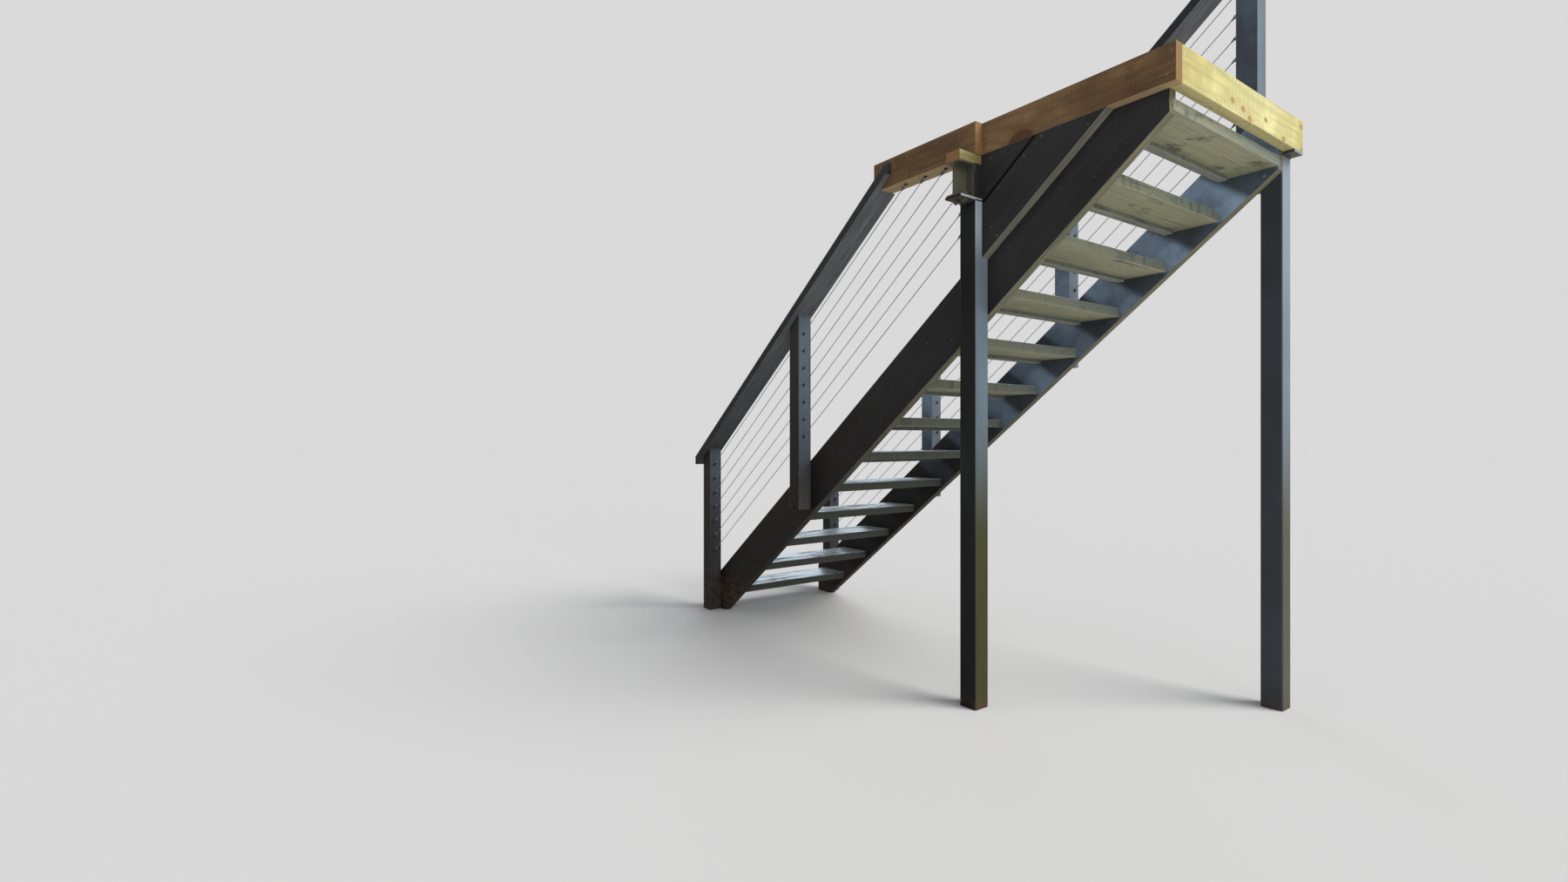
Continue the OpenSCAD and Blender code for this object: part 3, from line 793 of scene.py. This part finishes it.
def weld_paint(name):
    f = Finish(name)
    x, y, z = f.part(f.at())
    ripple = ((x + y) * 1500 + z * 400 + f.noise(f.at(), 90.0, 2.0) * 3.0).wave() * 0.5 + 0.5
    dirt = f.noise(f.at(), 120.0, 4.0)
    colour = f.mix(ripple * 0.5 + dirt * 0.4, (0.014, 0.015, 0.015), (0.048, 0.046, 0.040))
    return f.finish(colour, 0.45 + dirt * 0.2, ripple, 0.0010, gloss=0.4)


beads = []
for hand, outward in HANDS:
    stringer_low, stringer_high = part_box(f"stringer_{hand}")
    mid_x = (stringer_high.x if outward > 0 else stringer_low.x) + outward * STEEL_W / 2
    low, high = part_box(f"steel_post_{hand}")
    beads.append(weld_bead(f"weld_steel_post_{hand}", mid_x, low.y + STEEL_W / 2, high.z - CAP_T))
give(fuse("cap_plate_welds", *beads), weld_paint("weld_paint"))

FLANGE_T, BOLT_IN, BOLT_OFF = 0.007, 0.048, 0.024
BOLT_WASHER_T, BOLT_HEAD_R, BOLT_HEAD_T, BOLT_R, BOLT_END = 0.0025, 0.0139, 0.0085, 0.0060, 0.0055
head_seat = BOLT_WASHER_T - SUNK
end_seat = head_seat + BOLT_HEAD_T - SUNK
bolt = fuse("bolt_blank", disc("washer", WASHER_R, BOLT_WASHER_T, sides=32, soften=0.0005),
            disc("head", BOLT_HEAD_R, BOLT_HEAD_T, sides=6, soften=0.0012, base=head_seat),
            disc("thread", BOLT_R, BOLT_END, sides=20, soften=0.0008, base=end_seat))
seat_low, seat_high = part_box("beam_end")
bolt_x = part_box("steel_post_house_side")[1].x - BOLT_IN
places = []
for off in (-BOLT_OFF, BOLT_OFF):
    y = (seat_low.y + seat_high.y) / 2 + off
    places.append(((bolt_x, y, seat_low.z + FLANGE_T), (0, 0, 1)))
    places.append(((bolt_x, y, seat_low.z - CAP_T), (0, 0, -1)))
give(set_out(bolt, "beam_bolts", places), beam_enamel_and_bounce)

for blank in (tread_screw, cover_screw, rail_screw, coach_screw, bush, lock_nut, nail, bolt):
    bpy.data.objects.remove(blank)


# A plain pale floor and soft light from all round, strongest from the garden side and above.
# The camera stands 1.2 m over the floor, beyond the stair's head on its house side, and looks level.
FLOOR_W = 160
bpy.ops.mesh.primitive_plane_add(size=FLOOR_W, location=(0, 0, 0))
floor = bpy.context.object
floor.name = "studio_floor"
floor.data.materials.append(Finish("studio_floor").finish((0.618, 0.612, 0.609), 0.9, gloss=0.0))

world = bpy.data.worlds.new("studio")
bpy.context.scene.world = world
world.use_nodes = True
tree = world.node_tree
light = tree.nodes["Background"]
light.inputs["Color"].default_value = (0.95, 0.975, 1.0, 1)
light.inputs["Strength"].default_value = 0.34
seen = tree.nodes.new("ShaderNodeBackground")
seen.inputs["Color"].default_value = (0.70, 0.70, 0.70, 1)
path = tree.nodes.new("ShaderNodeLightPath")
rays = Tone(tree, path.outputs["Is Camera Ray"])
for kind in ("Is Glossy Ray", "Is Transmission Ray"):
    rays = rays + Tone(tree, path.outputs[kind])
blend = tree.nodes.new("ShaderNodeMixShader")
plug(tree, blend.inputs[0], rays.clip())
tree.links.new(light.outputs[0], blend.inputs[1])
tree.links.new(seen.outputs[0], blend.inputs[2])
tree.links.new(blend.outputs[0], tree.nodes["World Output"].inputs["Surface"])

for name, place, angle, power, colour in (
        ("key", (-4.5, 7.5, 8.5), 36, 3.2, (1.0, 0.99, 0.975)),
        ("fill", (3.5, 8.0, 2.5), 50, 0.9, (0.95, 0.97, 1.0)),
        ("sheen", (-4.4, -6.1, 2.6), 24, 0.36, (0.64, 0.83, 1.0))):
    lamp = bpy.data.lights.new(name, "SUN")
    lamp.energy, lamp.angle, lamp.color = power, math.radians(angle), colour
    lamp_object = bpy.data.objects.new(name, lamp)
    bpy.context.scene.collection.objects.link(lamp_object)
    lamp_object.location = place
    lamp_object.rotation_euler = (-Vector(place)).to_track_quat("-Z", "Y").to_euler()

# the photograph in its own pixels: its width, its focal length and its horizon's height over the middle
PHOTO_W, FOCAL_PX, HORIZON_UP = 1800.0, 836.0, 4.2
SENSOR_MM = 36.0
EYE, LOOK_X, LOOK_Y = (3.1055, 2.900, 1.200), -0.5863, -0.8101
camera_data = bpy.data.cameras.new("camera")
camera = bpy.data.objects.new("camera", camera_data)
bpy.context.scene.collection.objects.link(camera)
camera.location = EYE
camera.rotation_euler = (math.pi / 2, 0, math.atan2(-LOOK_X, LOOK_Y))
camera_data.sensor_fit = "HORIZONTAL"
camera_data.sensor_width = SENSOR_MM
camera_data.lens = SENSOR_MM * FOCAL_PX / PHOTO_W
camera_data.shift_y = -HORIZON_UP / PHOTO_W
camera_data.clip_start = 0.05
camera_data.clip_end = 300.0
bpy.context.scene.camera = camera
bpy.context.scene.view_settings.view_transform = "Standard"
